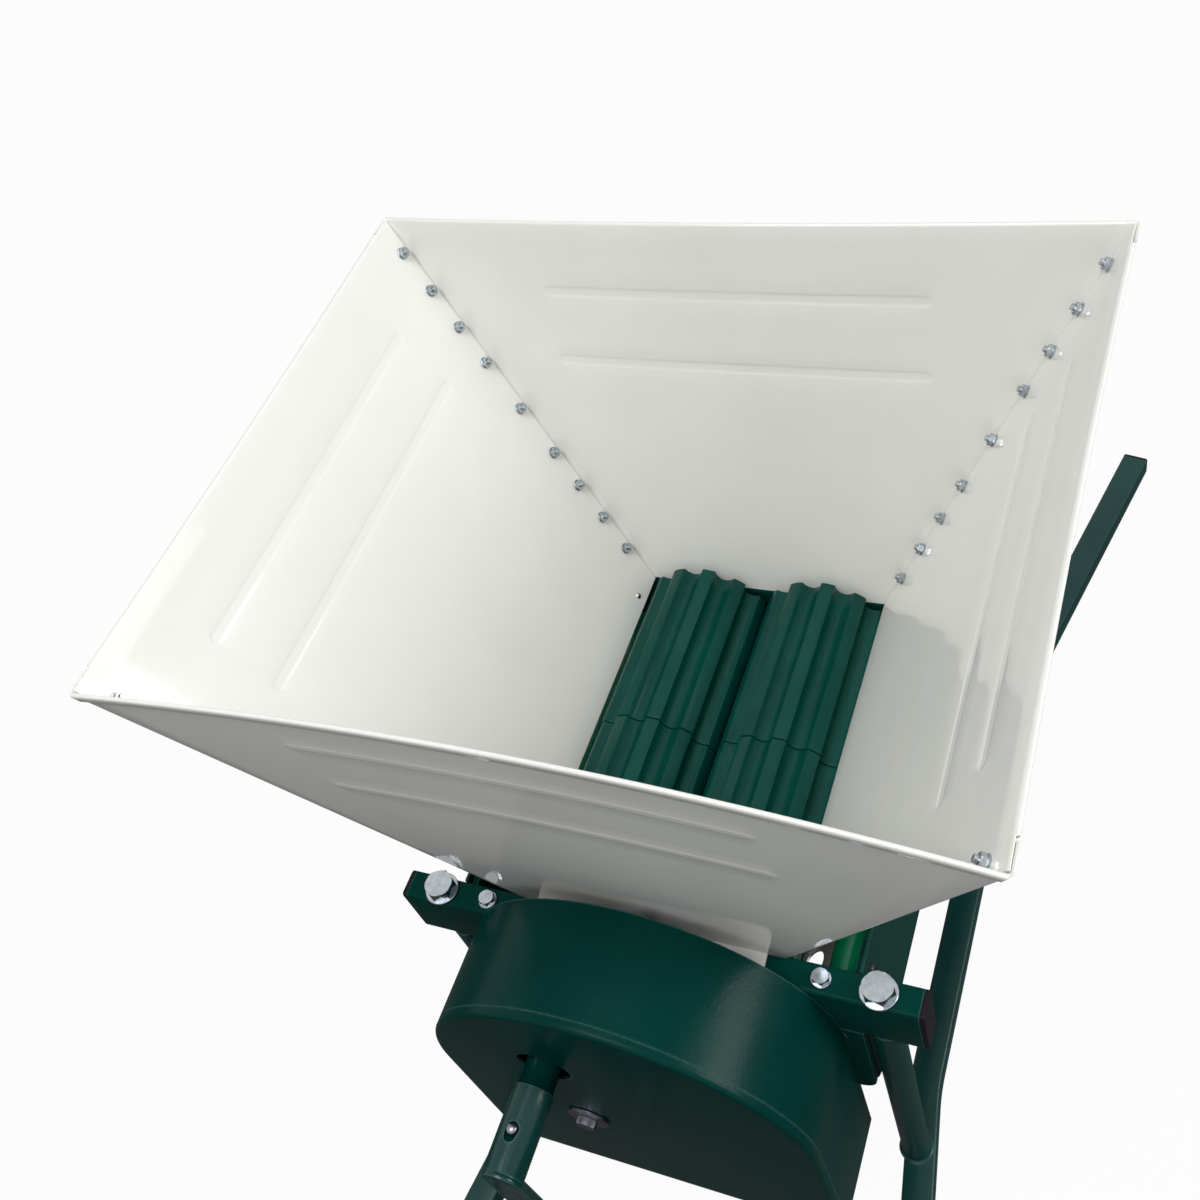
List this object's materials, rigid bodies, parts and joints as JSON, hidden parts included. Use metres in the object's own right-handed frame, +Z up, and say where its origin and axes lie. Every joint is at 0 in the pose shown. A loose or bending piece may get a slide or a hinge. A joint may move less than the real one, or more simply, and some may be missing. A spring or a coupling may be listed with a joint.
{
  "type": "grape crusher destemmer",
  "caption": "Hand-cranked grape crusher: square hopper over two lobed rollers, arched gear cover with crank, beater in a perforated trough, on two carrying rails",
  "frame": {"origin": "on the floor under the carrying rails, at the middle of the machine's outline", "axes": "+Z up, +Y along the rollers and the rails away from the crank, +X to the right seen from the crank"},
  "size_m": [0.4954, 1.0501, 0.616],
  "materials": {
    "left_rail_frame": "dark green gloss powder coat",
    "right_rail_frame": "dark green gloss powder coat",
    "front_cross_bar": "dark green gloss powder coat",
    "rear_cross_bar": "dark green gloss powder coat",
    "gear_cover": "dark green gloss powder coat",
    "front_end_plate": "dark green gloss powder coat",
    "left_side_plate": "dark green gloss powder coat",
    "right_side_plate": "dark green gloss powder coat",
    "stem_outlet_cover": "dark green gloss powder coat",
    "rear_bearing_yoke": "dark green gloss powder coat",
    "crank_handle": "dark green gloss powder coat",
    "left_side_tube": "bright green powder coat",
    "right_side_tube": "bright green powder coat",
    "hopper_front_panel": "cream gloss powder coat",
    "hopper_back_panel": "cream gloss powder coat",
    "hopper_left_panel": "cream gloss powder coat",
    "hopper_right_panel": "cream gloss powder coat",
    "left_roller_front_half": "satin moulded dark green",
    "left_roller_rear_half": "satin moulded dark green",
    "right_roller_front_half": "satin moulded dark green",
    "right_roller_rear_half": "satin moulded dark green",
    "crank_grip": "black moulded plastic",
    "bar_and_rail_caps": "black moulded plastic",
    "zinc_fasteners": "bright zinc plating",
    "bronze_bushes": "machined bronze",
    "machined_steel": "machined steel",
    "stainless_steel": "satin stainless steel"
  },
  "bodies": {
    "frame": {"left_rail_frame": "left_rail_frame", "right_rail_frame": "right_rail_frame", "front_left_rail_cap": "bar_and_rail_caps", "front_right_rail_cap": "bar_and_rail_caps", "rear_left_rail_cap": "bar_and_rail_caps", "rear_right_rail_cap": "bar_and_rail_caps", "front_cross_bar": "front_cross_bar", "rear_cross_bar": "rear_cross_bar", "front_left_bar_cap": "bar_and_rail_caps", "front_right_bar_cap": "bar_and_rail_caps", "rear_left_bar_cap": "bar_and_rail_caps", "rear_right_bar_cap": "bar_and_rail_caps", "front_left_post_bolt": "zinc_fasteners", "front_right_post_bolt": "zinc_fasteners", "rear_left_post_bolt": "zinc_fasteners", "rear_right_post_bolt": "zinc_fasteners", "left_side_tube": "left_side_tube", "right_side_tube": "right_side_tube", "front_left_tube_bolt": "zinc_fasteners", "front_right_tube_bolt": "zinc_fasteners", "rear_left_tube_bolt": "zinc_fasteners", "rear_right_tube_bolt": "zinc_fasteners", "front_left_roller_bush": "bronze_bushes", "front_right_roller_bush": "bronze_bushes", "rear_left_roller_bush": "bronze_bushes", "rear_right_roller_bush": "bronze_bushes", "idler_axle": "machined_steel", "idler_collar": "zinc_fasteners", "gear_cover": "gear_cover", "cover_washer": "zinc_fasteners", "cover_bolt": "zinc_fasteners", "front_end_plate": "front_end_plate", "left_side_plate": "left_side_plate", "right_side_plate": "right_side_plate", "destemming_screen": "stainless_steel", "rear_bearing_yoke": "rear_bearing_yoke", "stem_outlet_cover": "stem_outlet_cover", "front_beater_bush": "bronze_bushes", "rear_beater_bush": "bronze_bushes", "hopper_front_panel": "hopper_front_panel", "hopper_back_panel": "hopper_back_panel", "hopper_left_panel": "hopper_left_panel", "hopper_right_panel": "hopper_right_panel"},
    "left_roller": {"left_roller_shaft": "machined_steel", "left_roller_front_half": "left_roller_front_half", "left_roller_rear_half": "left_roller_rear_half", "left_roller_gear": "machined_steel", "crank_handle": "crank_handle", "grip_spindle": "zinc_fasteners", "grip_nut": "zinc_fasteners", "button_spring": "machined_steel"},
    "right_roller": {"right_roller_shaft": "machined_steel", "right_roller_front_half": "right_roller_front_half", "right_roller_rear_half": "right_roller_rear_half", "right_roller_gear": "machined_steel"},
    "idler": {"idler_gear": "machined_steel"},
    "beater": {"beater": "stainless_steel", "beater_pinion": "machined_steel"},
    "grip": {"crank_grip": "crank_grip"},
    "button": {"snap_button": "zinc_fasteners"}
  },
  "joints": [
    {"name": "crank_turn", "type": "hinge", "parent": "frame", "child": "left_roller", "pos_m": [-0.0465, -0.07, 0.295], "axis": [0, 1, 0], "continuous": true},
    {"name": "right_roller_turn", "type": "hinge", "parent": "frame", "child": "right_roller", "pos_m": [0.0465, -0.07, 0.295], "axis": [0, 1, 0], "continuous": true},
    {"name": "idler_turn", "type": "hinge", "parent": "frame", "child": "idler", "pos_m": [-0.04, -0.07, 0.20373], "axis": [0, 1, 0], "continuous": true},
    {"name": "beater_turn", "type": "hinge", "parent": "frame", "child": "beater", "pos_m": [0, -0.07, 0.14751], "axis": [0, 1, 0], "continuous": true},
    {"name": "grip_turn", "type": "hinge", "parent": "left_roller", "child": "grip", "pos_m": [-0.0465, -0.45, 0.075], "axis": [0, 1, 0], "continuous": true},
    {"name": "button_press", "type": "slide", "parent": "left_roller", "child": "button", "axis": [0, 0, -1], "range_m": [0, 0.0056], "stiffness_N_per_m": 800, "springref_m": -0.001, "deforming": ["button_spring"]}
  ],
  "couplings": [
    {"joint": "right_roller_turn", "follows": "crank_turn", "ratio": -1},
    {"joint": "idler_turn", "follows": "crank_turn", "ratio": -1.0333},
    {"joint": "beater_turn", "follows": "crank_turn", "ratio": 1.9375}
  ]
}
